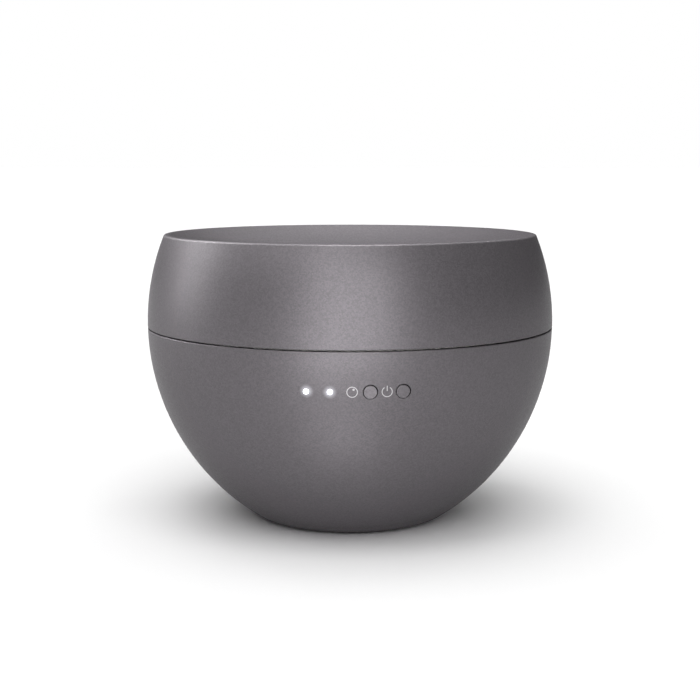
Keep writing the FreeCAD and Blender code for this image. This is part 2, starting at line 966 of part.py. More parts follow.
def fan_housing():
    """Square frame with the bore, four struts and the tube that holds the bearing."""
    body = new_body("FanHousing", "fan_housing")
    half = "fan_width / 2"
    prism(body, rectangle(f"-{half}", f"-{half}", half, half), FAN_BOTTOM, "fan_depth")
    centre = [("0", "0")]
    cylinders(body, centre, "fan_bore", FAN_TOP, "fan_depth", "Pocket")
    cylinders(body, centre, "hub_radius", SPIDER_BOTTOM, "spider_thick")
    strut = prism(
        body,
        rectangle(
            "hub_radius - overcut",
            "-strut_width / 2",
            "fan_bore + overcut / 2",
            "strut_width / 2",
        ),
        SPIDER_BOTTOM,
        "spider_thick",
    )
    repeat_round(body, strut, "strut_count")
    tube_bottom = f"({FAN_BOTTOM} + sleeve_rise)"
    cylinders(body, centre, "sleeve_tube", tube_bottom, f"{SPIDER_BOTTOM} - {tube_bottom}")
    cylinders(
        body,
        centre,
        "sleeve_outer + close_gap",
        tube_bottom,
        f"{FAN_TOP} - sleeve_cap - {tube_bottom}",
        "Pocket",
        backwards=True,
    )
    cylinders(
        body,
        ring(4, "(fan_spacing / sqrt(2))", 45),
        "fan_hole",
        FAN_TOP,
        "fan_depth",
        "Pocket",
    )


def fan_bearing():
    """Sintered sleeve that the shaft runs in."""
    body = new_body("FanBearing", "fan_bearing")
    bottom = f"({FAN_BOTTOM} + sleeve_rise + clearance)"
    length = f"{FAN_TOP} - sleeve_cap - clearance - {bottom}"
    cylinders(body, [("0", "0")], "sleeve_outer", bottom, length)
    cylinders(
        body,
        [("0", "0")],
        "shaft_radius + shaft_play",
        bottom,
        length,
        "Pocket",
        backwards=True,
    )


def fan_stator():
    """Laminated core with four wound poles, on the outside of the bearing tube."""
    body = new_body("FanStator", "fan_stator")
    bottom = f"({FAN_BOTTOM} + stator_rise)"
    height = f"{SPIDER_BOTTOM} - rotor_gap - {bottom}"
    cylinders(body, [("0", "0")], "core_radius", bottom, height)
    outline = rectangle("pole_inner", "-pole_half", "pole_outer", "pole_half")
    repeat_round(body, prism(body, outline, bottom, height), "pole_count")
    cylinders(
        body,
        [("0", "0")],
        "sleeve_tube + close_gap",
        bottom,
        height,
        "Pocket",
        backwards=True,
    )


def fan_rotor():
    """Hub cup with pitched blades; its closed end faces the intake."""
    body = new_body("FanRotor", "fan_rotor")
    bottom = f"({FAN_BOTTOM} + rotor_rise)"
    top = f"({SPIDER_BOTTOM} - rotor_gap)"
    centre = [("0", "0")]
    cylinders(body, centre, "hub_radius", bottom, f"{top} - {bottom}")
    blade = prism(
        body,
        [
            ("-blade_half", f"{bottom} + clearance"),
            ("blade_width - blade_half", f"{bottom} + clearance"),
            ("blade_half", f"{top} - clearance"),
            ("blade_half - blade_width", f"{top} - clearance"),
        ],
        "hub_radius - overcut",
        "blade_reach - hub_radius + overcut",
        role="YZ_Plane",
    )
    repeat_round(body, blade, "blade_count")
    cylinders(
        body, centre, "hub_radius - hub_wall", top, f"{top} - {bottom} - hub_wall", "Pocket"
    )
    cylinders(
        body, centre, "shaft_radius + press_gap", bottom, "fan_depth / 2", "Pocket", backwards=True
    )


def fan_shaft():
    """Steel shaft, pressed into the hub."""
    body = new_body("FanShaft", "fan_shaft")
    bottom = f"({FAN_BOTTOM} + rotor_rise)"
    cylinders(body, [("0", "0")], "shaft_radius", bottom, f"{FAN_TOP} - shaft_end - {bottom}")


# ---- main board ----------------------------------------------------------------------------


def main_board():
    """Circuit board under the tank floor."""
    body = new_body("MainBoard", "main_board")
    outline = rectangle("-main_half", "main_front", "main_half", "main_back")
    prism(body, outline, MAIN_BOTTOM, "board_thick")
    cylinders(
        body, main_posts(), "small_screw + clearance", "main_top", "board_thick", "Pocket"
    )


def below_board(name, places, height):
    """A block component that hangs from the board's underside."""
    body = new_body(name.title().replace("_", ""), name)
    prism(body, places, f"{MAIN_BOTTOM} - clearance", height, backwards=True)
    return body


def driver_coil():
    """Drum choke of the membrane's driver: a winding between two flanges."""
    body = new_body("DriverCoil", "driver_coil")
    place = [("coil_across", "coil_along")]
    top = f"({MAIN_BOTTOM} - clearance)"
    winding_top = f"({top} - coil_flange_thick)"
    cylinders(body, place, "coil_flange", top, "coil_flange_thick", backwards=True)
    cylinders(body, place, "coil_radius", winding_top, "coil_height", backwards=True)
    cylinders(
        body,
        place,
        "coil_flange",
        f"{winding_top} - coil_height",
        "coil_flange_thick",
        backwards=True,
    )


def heat_sink():
    """Finned aluminium block beside the power transistor."""
    outline = rectangle("sink_left", "sink_front", "sink_right", "sink_back")
    body = below_board("heat_sink", outline, "sink_height")
    cuts = new_sketch(body, "XY_Plane", f"{MAIN_BOTTOM} - clearance - sink_height")
    for index in range(int(number("fin_count")) - 1):
        left = f"sink_left + fin_thick + (fin_thick + fin_gap) * {index}"
        draw_outline(
            cuts,
            rectangle(left, "sink_front - overcut", f"{left} + fin_gap", "sink_back - sink_web"),
        )
    extrude(body, cuts, "sink_height", "Pocket", backwards=True)


def capacitors():
    """Two electrolytic capacitors."""
    body = new_body("Capacitors", "capacitors")
    places = [("can_left", "can_left_along"), ("can_right", "can_right_along")]
    top = f"{MAIN_BOTTOM} - clearance"
    cylinders(body, places, "can_radius", top, "can_height", backwards=True)


# Left and front edges of the board's plug headers.
HEADERS = {
    "membrane": (-2.5, 19.2),
    "fan": (20, 31.5),
    "controls": (-24.8, 31.5),
    "supply": (15.2, 37.2),
}


def board_connectors():
    """Plug headers for the membrane, the fan, the controls and the supply."""
    body = new_body("BoardConnectors", "board_connectors")
    sketch = new_sketch(body, "XY_Plane", f"{MAIN_BOTTOM} - clearance")
    for left, front in HEADERS.values():
        draw_outline(
            sketch, rectangle(left, front, f"{left} + header_side", f"{front} + header_side")
        )
    extrude(body, sketch, "header_height", backwards=True)


# ---- controls ------------------------------------------------------------------------------


def panel_outline():
    return rectangle("panel_left", "panel_bottom", "panel_right", "panel_top")


def pressed_piece(name, place):
    """A button: round cap, retaining collar and stem.

    The cap's face is upright and follows the bowl's curve around the axis. It is flush with
    the bowl at its lowest point and lies deeper towards the top, where the bowl bulges out.
    The cap sits a little low in its hole, so the gap around it is wide at the top and narrow
    at the bottom.
    """
    body = new_body(name.title().replace("_", ""), name)
    spot = [(place, "control_height")]
    low_spot = [(place, "control_height - cap_drop")]
    cylinders(body, low_spot, "button_radius", "collar_back", "cap_length", role="XZ_Plane")
    face = outline_at("(control_height - cap_drop - button_radius)", "button_sink")
    low = "control_height - cut_half"
    high = "control_height + cut_half"
    turned(body, rectangle(face, low, "outline_radius", high), kind="Groove")
    cap = body.Tip
    rim = [
        f"Edge{index}"
        for index, edge in enumerate(cap.Shape.Edges, 1)
        if edge.BoundBox.YMax < -number("collar_back + collar_thick * 2")
        and edge.BoundBox.XLength > number("button_radius")
    ]
    fillet = body.newObject("PartDesign::Fillet", "Fillet")
    fillet.Base = (cap, rim)
    fillet.setExpression("Radius", bound("cap_round"))
    document.recompute()
    cylinders(body, spot, "collar_radius", "collar_back", "collar_thick", role="XZ_Plane")
    cylinders(body, spot, "stem_radius", "stem_back", "collar_back - stem_back", role="XZ_Plane")


def switch_body(name, place):
    """Housing of a tactile switch, with the bore that its plunger moves in."""
    body = new_body(name.title().replace("_", ""), name)
    half = "switch_width / 2"
    square = rectangle(
        f"{place} - {half}",
        f"control_height - {half}",
        f"{place} + {half}",
        f"control_height + {half}",
    )
    prism(body, square, "board_front", "switch_depth", role="XZ_Plane")
    spot = [(place, "control_height")]
    front = "board_front + switch_depth"
    bore = "plunger_radius + guide_play"
    cylinders(body, spot, bore, front, "plunger_well", "Pocket", "XZ_Plane")


def switch_plunger(name, place):
    """The switch's own small plunger, which the button's stem rests on."""
    body = new_body(name.title().replace("_", ""), name)
    back = "(board_front + switch_depth - plunger_depth)"
    spot = [(place, "control_height")]
    length = f"stem_back - close_gap - {back}"
    cylinders(body, spot, "plunger_radius", back, length, role="XZ_Plane")


def button_frame():
    """Plate that guides the stems and carries the control board on two posts."""
    body = new_body("ButtonFrame", "button_frame")
    back = "(frame_front - frame_thick)"
    prism(body, panel_outline(), back, "frame_thick - close_gap", role="XZ_Plane")
    buttons = [("interval_place", "control_height"), ("power_place", "control_height")]
    lamps = [("first_lamp", "control_height"), ("second_lamp", "control_height")]
    sleeve = f"guide_front - {back}"
    cylinders(body, buttons, "guide_radius", back, sleeve, role="XZ_Plane")
    post = f"{back} - board_front"
    post_back = "board_front + close_gap"
    cylinders(body, frame_bosses(), "frame_post", post_back, post, role="XZ_Plane")
    for spots, radius in (
        (buttons, "stem_radius + guide_play"),
        (lamps, "lamp_radius + guide_play"),
        (frame_bosses(), "small_screw + clearance"),
    ):
        cylinders(body, spots, radius, "guide_front", "through", "Pocket", "XZ_Plane")


def control_board():
    """Circuit board that carries the switches and the indicator lamps."""
    body = new_body("ControlBoard", "control_board")
    back = "board_front - board_thick"
    prism(body, panel_outline(), back, "board_thick - close_gap", role="XZ_Plane")
    hole = "small_screw + clearance"
    cylinders(body, frame_bosses(), hole, "board_front", "through", "Pocket", "XZ_Plane")


def control_connector():
    """Plug header at the control board's lower edge."""
    body = new_body("ControlConnector", "control_connector")
    block = rectangle("plug_left", "plug_bottom", "plug_right", "plug_top")
    prism(body, block, "board_front", "plug_depth", role="XZ_Plane")


def indicator_lamps():
    """Two light-emitting diodes on the control board."""
    body = new_body("IndicatorLamps", "indicator_lamps")
    sketch = new_sketch(body, "XZ_Plane", "board_front")
    for place in ("first_lamp", "second_lamp"):
        draw_outline(
            sketch,
            rectangle(
                f"{place} - lamp_half_width",
                "control_height - lamp_half_height",
                f"{place} + lamp_half_width",
                "control_height + lamp_half_height",
            ),
        )
    extrude(body, sketch, "lamp_block")


def light_pipe():
    """Clear moulding: two rods that end flush with the bowl, joined by a bar."""
    body = new_body("LightPipe", "light_pipe")
    back = "(board_front + lamp_block + clearance)"
    lamps = [("first_lamp", "control_height"), ("second_lamp", "control_height")]
    bar = rectangle(
        "first_lamp - bar_half",
        "control_height - bar_half",
        "second_lamp + bar_half",
        "control_height + bar_half",
    )
    prism(body, bar, back, "bar_thick", role="XZ_Plane")
    cylinders(body, lamps, "lamp_radius", back, "through", role="XZ_Plane")
    low = "(control_height - cut_half)"
    high = "(control_height + cut_half)"
    turned(
        body,
        [
            (outline_at(low), low),
            ("outline_radius + cut_half", low),
            ("outline_radius + cut_half", high),
            (outline_at(high), high),
        ],
        {3: ("outline_radius", -1)},
        "Groove",
    )


# ---- supply socket -------------------------------------------------------------------------


def socket_housing():
    """Panel socket for a round low-voltage plug, with a threaded barrel."""
    body = new_body("SocketHousing", "socket_housing")
    half = "socket_width / 2"
    square = rectangle(
        f"-{half}",
        f"socket_height - {half}",
        half,
        f"socket_height + {half}",
    )
    back = "(socket_floor - socket_wall - clearance)"
    spot = [("0", "socket_height")]
    prism(body, square, "-socket_back", f"{back} - socket_back", role="XZ_Plane", backwards=True)
    start = f"barrel_root - {back}"
    length = f"barrel_front + {start}"
    cylinders(body, spot, "barrel_radius", start, length, role="XZ_Plane", backwards=True)
    for radius, from_here in (
        ("barrel_bore", "barrel_depth - barrel_front"),
        ("pin_root + close_gap", "-socket_back - pin_start + press_gap"),
    ):
        cylinders(body, spot, radius, from_here, "through", "Pocket", "XZ_Plane")


def socket_pin():
    """The socket's centre contact, on a thinner root that the housing holds."""
    body = new_body("SocketPin", "socket_pin")
    root = "(socket_back + pin_start)"
    shoulder = "(barrel_front - barrel_depth)"
    spot = [("0", "socket_height")]
    plane = {"role": "XZ_Plane", "backwards": True}
    cylinders(body, spot, "pin_root", f"-{root}", f"{shoulder} - {root}", **plane)
    cylinders(body, spot, "pin_radius", f"-{shoulder}", f"pin_front - {shoulder}", **plane)


def socket_nut():
    """Hexagon nut that clamps the socket to the recess's floor."""
    body = new_body("SocketNut", "socket_nut")
    corners = [
        (
            f"nut_flat / cos(30 deg) * cos({60 * step} deg)",
            f"socket_height + nut_flat / cos(30 deg) * sin({60 * step} deg)",
        )
        for step in range(6)
    ]
    near = "-socket_floor - close_gap"
    spot = [("0", "socket_height")]
    prism(body, corners, near, "nut_thick", role="XZ_Plane", backwards=True)
    cylinders(body, spot, "barrel_radius + close_gap", near, "nut_thick", "Pocket", "XZ_Plane")


# ---- wiring --------------------------------------------------------------------------------


def lead(name, route, radius):
    """A captive lead: straight runs joined by tangent arcs, round in section."""
    points = [FreeCAD.Vector(*place) for place in route]
    edges = []
    start = points[0]
    bends = []
    for before, corner, after in zip(points, points[1:], points[2:]):
        run_in = corner - before
        run_out = after - corner
        half_turn = run_in.getAngle(run_out) / 2
        setback = 0.45 * min(run_in.Length, run_out.Length)
        bends.append(setback / math.tan(half_turn))
        run_in.normalize()
        run_out.normalize()
        enter = corner - run_in * setback
        leave = corner + run_out * setback
        inward = (run_out - run_in).normalize()
        depth = bends[-1] * (1 / math.cos(half_turn) - 1)
        edges.append(Part.LineSegment(start, enter).toShape())
        edges.append(Part.Arc(enter, corner + inward * depth, leave).toShape())
        start = leave
    edges.append(Part.LineSegment(start, points[-1]).toShape())
    path = Part.Wire(edges)
    first_way = points[1] - points[0]
    section = Part.Wire([Part.Circle(points[0], first_way, radius).toShape()])
    tube = path.makePipeShell([section], True, False)
    expected = math.pi * radius**2 * path.Length
    smallest = min(bends)
    print(f"{name}: volume {tube.Volume / expected:.4f} of expected, bend {smallest:.1f} mm")
    piece = document.addObject("Part::Feature", name.title().replace("_", ""))
    piece.Shape = tube
    piece.Placement = FreeCAD.Placement()
    piece.Label = name
    sub_parts.append(piece)


def leads():
    """Leads of the fan, the membrane, the control board and the supply socket."""
    wire = number("wire_radius")
    lead("fan_lead", [(20.05, 10, 11), (31, 10, 11.5), (37, 25, 20), (34.6, 34, 29),
                      (24.85, 33.9, 29.6)], wire)
    lead("membrane_lead", [(0, -3, 43.25), (0, -3, 34), (-1, 5, 28), (-0.1, 19.1, 29.6)], wire)
    lead("control_lead", [(-8, -65.6, 52.95), (-8.6, -65.4, 42), (-12, -52, 32),
                          (-20, -28, 27), (-27, -4, 26), (-37, 16, 27), (-35, 33.9, 29.6),
                          (-24.85, 33.9, 29.6)], wire)
    lead("supply_lead", [(1.2, 43.7, 21.2), (3, 36.2, 18.5), (17.4, 37.4, 17.4),
                         (17.6, 39.6, 26.6)], wire)


# ---- assembly ------------------------------------------------------------------------------

upper_cover()
mist_guide()
water_tank()
tank_gasket()
membrane_seal()
ultrasonic_membrane()
membrane_retainer()
lower_bowl()
base_plate()
rubber_feet()
fan_housing()
fan_bearing()
fan_stator()
fan_rotor()
fan_shaft()
main_board()
driver_coil()
heat_sink()
below_board(
    "power_transistor",
    rectangle("transistor_left", "transistor_front", "transistor_right", "transistor_back"),
    "transistor_height",
)
capacitors()
below_board(
    "controller_chip",
    rectangle("chip_left", "chip_front", "chip_right", "chip_back"),
    "chip_height",
)
board_connectors()
for button, spot in (("interval", "interval_place"), ("power", "power_place")):
    pressed_piece(button + "_button", spot)
    switch_body(button + "_switch", spot)
    switch_plunger(button + "_plunger", spot)
button_frame()
control_board()
control_connector()
indicator_lamps()
light_pipe()
socket_housing()
socket_pin()
socket_nut()
leads()
fan_corners = ring(4, "(fan_spacing / sqrt(2))", 45)
tank_corners = ring(4, "tank_screw_ring", 45)
screws("tank_screws", tank_corners, "deck_top", "tank_screw_length", "screw_radius")
screws("fan_screws", fan_corners, FAN_TOP, "fan_screw_length", "screw_radius")
for name, places, seat, length, radius, role in (
    (
        "base_screws",
        ring(4, "base_screw_ring"),
        "plate_bottom + head_recess_depth",
        "base_screw_length",
        "screw_radius",
        "XY_Plane",
    ),
    (
        "retainer_screws",
        ring(3, "retainer_ring", 30),
        f"{RETAINER_TOP} - retainer_thick",
        "retainer_screw_length",
        "small_screw",
        "XY_Plane",
    ),
    ("board_screws", main_posts(), MAIN_BOTTOM, "board_screw_length", "small_screw", "XY_Plane"),
    (
        "frame_screws",
        frame_bosses(),
        "board_front - board_thick",
        "frame_screw_length",
        "small_screw",
        "XZ_Plane",
    ),
):
    screws(name, places, seat, length, radius, role, head_below=True)

document.recompute()
for item in document.Objects:
    if "Invalid" in item.State or "Error" in item.State:
        raise RuntimeError(f"{item.Label}: {item.State}")
for item in sub_parts:
    if item.Shape.isNull() or not item.Shape.isValid():
        raise RuntimeError(f"{item.Label}: the shape is not valid")

os.makedirs("parts", exist_ok=True)
for item in sub_parts:
    item.Shape.exportStep(f"parts/{item.Label}.step")
    print(f"{item.Label}: {len(item.Shape.Solids)} solid(s), {item.Shape.Volume:.0f} mm3")
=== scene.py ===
# %% [markdown]
# # A bowl-shaped aroma diffuser
# The real object is a truncated ball of moulded ABS, sprayed with a matte metallic lacquer. Its
# upper half lifts off a water tank; a fan, a piezo disc and two circuit boards sit in the bowl.
# Every hard piece already exists, at its true size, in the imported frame. So this script adds
# what the frame can't hold: finishes, printed marks, the glow of the lamps, light and a camera.

# %% Load the frame
import json
import math

import bmesh
import bpy
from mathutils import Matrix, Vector
from mathutils.bvhtree import BVHTree


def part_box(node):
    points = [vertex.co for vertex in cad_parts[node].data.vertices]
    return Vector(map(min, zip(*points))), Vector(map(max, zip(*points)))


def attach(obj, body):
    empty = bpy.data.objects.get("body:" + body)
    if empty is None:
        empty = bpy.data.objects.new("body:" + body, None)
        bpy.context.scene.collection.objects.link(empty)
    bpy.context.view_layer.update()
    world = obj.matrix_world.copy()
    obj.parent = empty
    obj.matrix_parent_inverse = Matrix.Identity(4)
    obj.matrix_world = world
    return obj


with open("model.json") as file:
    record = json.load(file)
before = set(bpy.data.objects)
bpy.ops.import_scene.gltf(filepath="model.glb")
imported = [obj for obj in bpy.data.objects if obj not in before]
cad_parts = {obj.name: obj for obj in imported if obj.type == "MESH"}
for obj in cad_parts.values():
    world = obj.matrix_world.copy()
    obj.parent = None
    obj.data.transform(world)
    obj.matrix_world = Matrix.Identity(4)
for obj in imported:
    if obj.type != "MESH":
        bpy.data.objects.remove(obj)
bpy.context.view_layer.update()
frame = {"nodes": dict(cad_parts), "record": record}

MM = 0.001
record = frame["record"]
nodes = frame["nodes"]

# %% [markdown]
# ## Colours and nodes
# A paint chip is read as an sRGB hex value, while a shader works with linear light, so one
# function turns the first into the second. Another adds any node with its settings and links,
# which keeps each material below down to the few lines that say what it is.


# %% Helpers for every material
def linear(chip, alpha=1.0):
    """An sRGB hex colour such as "8a8588", as linear RGBA."""
    values = [int(chip[place : place + 2], 16) / 255 for place in (0, 2, 4)]
    turned = [v / 12.92 if v <= 0.04045 else ((v + 0.055) / 1.055) ** 2.4 for v in values]
    return (*turned, alpha)


def add(tree, kind, inputs=None, **settings):
    """Adds one node. Settings are its properties, and inputs are values or sockets to link."""
    made = tree.nodes.new("ShaderNode" + kind)
    for name, value in settings.items():
        setattr(made, name, value)
    for name, value in (inputs or {}).items():
        if isinstance(value, bpy.types.NodeSocket):
            tree.links.new(value, made.inputs[name])
        else:
            made.inputs[name].default_value = value
    return made


def new_material(name, chip, **sockets):
    """A material with one Principled shader; sockets are set on the shader itself."""
    material = bpy.data.materials.new(name)
    material.use_nodes = True
    tree = material.node_tree
    tree.nodes.clear()
    values = {"Base Color": linear(chip)}
    values.update({key.replace("_", " "): value for key, value in sockets.items()})
    shader = add(tree, "BsdfPrincipled", values)
    add(tree, "OutputMaterial", {"Surface": shader.outputs["BSDF"]})
    place = add(tree, "TexCoord").outputs["Object"]
    print("finish:", name)
    return material, tree, shader, place


print("chip 808080 in linear light:", round(linear("808080")[0], 3))

# %% [markdown]
# ## Shade and grain
# Two things happen on nearly every surface. Its colour is a little darker here and lighter
# there, and it isn't perfectly smooth. Both could be drawn as pictures, but a pattern made of
# nodes has no edge and no resolution, and its scale can be given in real millimetres.


# %% Helpers for patterns
def vary_colour(tree, shader, chip, pattern, darkest, lightest):
    """Base colour: the chip, brighter and darker as the pattern goes from 0 to 1."""
    shade = add(
        tree, "MapRange", {"Value": pattern, "To Min": darkest, "To Max": lightest}
    )
    colour = add(
        tree,
        "Mix",
        {"Factor": 1.0, "A": linear(chip), "B": shade.outputs["Result"]},
        data_type="RGBA",
        blend_type="MULTIPLY",
    )
    tree.links.new(colour.outputs["Result"], shader.inputs["Base Color"])


def roughen(tree, shader, place, grain_mm, depth_mm):
    """Small irregular relief, as a spark-eroded mould or a pressed sheet has it."""
    grain = add(tree, "TexNoise", {"Vector": place, "Scale": 1 / (grain_mm * MM)})
    relief = add(tree, "Bump", {"Height": grain.outputs["Fac"], "Distance": depth_mm * MM})
    tree.links.new(relief.outputs["Normal"], shader.inputs["Normal"])


print("pattern helpers:", vary_colour.__name__, "and", roughen.__name__)

# %% [markdown]
# ## The lacquer of the shell
# Bowl, cover and buttons wear the same coat: a warm grey binder full of tiny aluminium flakes,
# under a matte clear coat. A flake mirrors the light and the binder scatters it, so the coat
# is partly metallic and rather rough, which gives broad soft highlights. Each flake tilts its
# own way, and that is the fine sparkle: a Voronoi cell stands for one flake and gets its own
# brightness, roughness and tilt. Real flakes are about 0.05 mm, too fine to show here, so the
# cells are drawn 0.45 mm wide. Under them the coat has the slight waviness of sprayed paint.

# %% Metallic lacquer
FLAKE_MM = 0.45
FLAKE_BRIGHTNESS = (0.88, 1.12)
FLAKE_ROUGHNESS = (0.38, 0.48)
FLAKE_TILT_MM = 0.008
ORANGE_PEEL_MM = 1.6
ORANGE_PEEL_DEPTH_MM = 0.012
FLAKE_METALLIC = 0.6
# Less reflection than a glossy coat has, so the edge of the ball stays darker.
COAT_REFLECTION = 0.35
COAT_TINT = "c4c4c4"


def flake_lacquer(name, chip):
    """Sprayed metallic lacquer: broad soft highlights with a fine sparkle in them."""
    material, tree, shader, place = new_material(
        name,
        chip,
        Metallic=FLAKE_METALLIC,
        Specular_IOR_Level=COAT_REFLECTION,
        Specular_Tint=linear(COAT_TINT),
    )
    flakes = add(tree, "TexVoronoi", {"Vector": place, "Scale": 1 / (FLAKE_MM * MM)})
    chance = add(tree, "SeparateColor", {"Color": flakes.outputs["Color"]}).outputs
    vary_colour(tree, shader, chip, chance["Red"], *FLAKE_BRIGHTNESS)
    smoothest, roughest = FLAKE_ROUGHNESS
    matte = add(
        tree,
        "MapRange",
        {"Value": chance["Green"], "To Min": smoothest, "To Max": roughest},
    )
    tree.links.new(matte.outputs["Result"], shader.inputs["Roughness"])
    waves = add(
        tree,
        "TexNoise",
        {"Vector": place, "Scale": 1 / (ORANGE_PEEL_MM * MM), "Detail": 1.0},
    )
    peel = add(
        tree,
        "Bump",
        {"Height": waves.outputs["Fac"], "Distance": ORANGE_PEEL_DEPTH_MM * MM},
    )
    tilted = add(
        tree,
        "Bump",
        {
            "Height": chance["Blue"],
            "Distance": FLAKE_TILT_MM * MM,
            "Normal": peel.outputs["Normal"],
        },
    )
    tree.links.new(tilted.outputs["Normal"], shader.inputs["Normal"])
    return material


# Warm dark grey: it gives the ball its weight, and the lamps its satin sheen.
LACQUER_CHIP = "545154"
shell_lacquer = flake_lacquer("flake_lacquer_on_abs", LACQUER_CHIP)

# %% [markdown]
# ## Where the lamps come out
# The light pipe is one clear moulding with two rods. Its front tips are found from its own
# vertices: those within a hair of the front, split into a left and a right group.

# %% Lamp tips
TIP_DEPTH = 1.5 * MM

pipe_low, pipe_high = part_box("light_pipe")
pipe_points = [vertex.co for vertex in nodes["light_pipe"].data.vertices]
front_points = [point for point in pipe_points if point.y < pipe_low.y + TIP_DEPTH]
middle_x = (pipe_low.x + pipe_high.x) / 2
lamp_tips = []
for side in (-1, 1):
    group = [point for point in front_points if (point.x - middle_x) * side > 0]
    lamp_tips.append(sum(group, Vector()) / len(group))
print("lamp tips:", [tuple(round(v / MM, 2) for v in tip) for tip in lamp_tips])

# %% [markdown]
# ## Lacquer around a lit lamp
# Light leaves the rod's end and scatters in the coat next to it, as a soft ring that is gone
# after 3 mm. A tiny lamp in each hole could light it too, but a pattern is simpler and sure.
# So the bowl gets its own copy of the lacquer, which glows by how near it is to a tip.

# %% Lamp-lit lacquer
GLOW_REACH = 3.0 * MM
GLOW_FALL = 2.2
GLOW_STRENGTH = 1.1
# A cool white: it makes the lamps read as white diodes behind clear plastic.
GLOW_CHIP = "f4f6ff"


def add_glow(material, centres):
    """Emission that falls off with the distance to the nearest centre."""
    tree = material.node_tree
    shader = next(node for node in tree.nodes if node.type == "BSDF_PRINCIPLED")
    place = next(node for node in tree.nodes if node.type == "TEX_COORD").outputs["Object"]
    nearest = None
    for centre in centres:
        apart = add(tree, "VectorMath", {0: place, 1: tuple(centre)}, operation="DISTANCE")
        away = apart.outputs["Value"]
        if nearest is not None:
            away = add(tree, "Math", {0: nearest, 1: away}, operation="MINIMUM").outputs[0]
        nearest = away
    closeness = add(
        tree,
        "MapRange",
        {"Value": nearest, "From Max": GLOW_REACH, "To Min": 1.0, "To Max": 0.0},
    )
    fading = add(
        tree, "Math", {0: closeness.outputs["Result"], 1: GLOW_FALL}, operation="POWER"
    )
    strength = add(
        tree, "Math", {0: fading.outputs["Value"], 1: GLOW_STRENGTH}, operation="MULTIPLY"
    )
    shader.inputs["Emission Color"].default_value = linear(GLOW_CHIP)
    tree.links.new(strength.outputs["Value"], shader.inputs["Emission Strength"])


bowl_lacquer = flake_lacquer("flake_lacquer_lit_by_lamps", LACQUER_CHIP)
add_glow(bowl_lacquer, lamp_tips)
print("glow reaches:", round(GLOW_REACH / MM, 2), "mm from each of", len(lamp_tips), "tips")

# %% [markdown]
# ## Plastics
# The tank is polypropylene, milky and soft-looking; the frame of the fan, the base and the
# small housings are ABS or nylon, moulded in a spark-eroded tool that leaves a fine matte
# grain of about a third of a millimetre. IOR is 1.49 for polypropylene and 1.54 for ABS.
# A plain colour with one roughness would do from afar, but close up a moulding is faintly
# cloudy, and its grain breaks up the highlight.

# %% Moulded plastics
CLOUD_MM = 9.0
CLOUD_DETAIL = 3.0


def moulded(name, chip, roughness, grain_mm=0.35, depth_mm=0.02, ior=1.54, mottle=0.06):
    """A moulding: an even colour, slightly mottled, with the tool's fine grain."""
    material, tree, shader, place = new_material(name, chip, Roughness=roughness, IOR=ior)
    roughen(tree, shader, place, grain_mm, depth_mm)
    cloud = add(
        tree,
        "TexNoise",
        {"Vector": place, "Scale": 1 / (CLOUD_MM * MM), "Detail": CLOUD_DETAIL},
    )
    vary_colour(tree, shader, chip, cloud.outputs["Fac"], 1 - mottle, 1 + mottle)
    return material


# Milky off-white with a soft sheen: the tank looks clean and slightly waxy.
tank_polypropylene = moulded(
    "moulded_polypropylene", "e4e3de", 0.38, grain_mm=0.6, depth_mm=0.01, ior=1.49, mottle=0.02
)
# Mid grey: the guide recedes under the dish, close to the lacquer but plainly plastic.
guide_abs = moulded("moulded_abs_grey", "5a5759", 0.45)
# Nearly black and coarse: the underside vanishes in the shadow.
base_abs = moulded("moulded_abs_black_grained", "232323", 0.6, grain_mm=0.45, depth_mm=0.04)
# Black with a faint gloss: fan and housings look like bought-in components.
black_nylon = moulded("moulded_nylon_black", "1b1b1b", 0.5)
# Warm white: connectors, plungers and frame stand out from the boards.
white_nylon = moulded("moulded_nylon_white", "dcdad2", 0.4)

# %% [markdown]
# ## Rubber, foam and silicone
# The feet are pressed rubber with a matte skin, the gasket is closed-cell foam with visible
# cells of about 0.8 mm, and the membrane's ring is smooth silicone. All three are moulded
# shapes with a grain, so the same function serves, with deeper and coarser relief.

# %% Soft parts
# Very rough and black: no highlight at all, so the feet read as grip.
foot_rubber = moulded(
    "pressed_rubber_black", "1e1e1e", 0.8, grain_mm=0.5, depth_mm=0.05, ior=1.52, mottle=0.08
)
# Dull charcoal with open-looking cells: it separates the tank from the bowl.
cell_foam = moulded(
    "closed_cell_foam", "2a2a2b", 0.9, grain_mm=0.8, depth_mm=0.12, ior=1.45, mottle=0.15
)
# Pale and smooth: a wet-looking ring around the disc.
clear_silicone = moulded(
    "moulded_silicone", "cfcdc6", 0.3, grain_mm=0.8, depth_mm=0.01, ior=1.41, mottle=0.03
)

# %% [markdown]
# ## Metals
# Screws are zinc-plated steel, the socket's pin and nut are nickel-plated brass, the bearing is
# sintered bronze and the heat sink is drawn aluminium. Working a metal leaves fine lines along
# one direction, which stretch its highlight. A noise that is squeezed across them and pulled
# out along them does the same, in both roughness and relief.

# %% Metals
LINE_STRETCH = 60
LINE_DEPTH_MM = 0.004
SMOOTHER_BY = 0.08
ROUGHER_BY = 0.12
X, Y, Z = range(3)


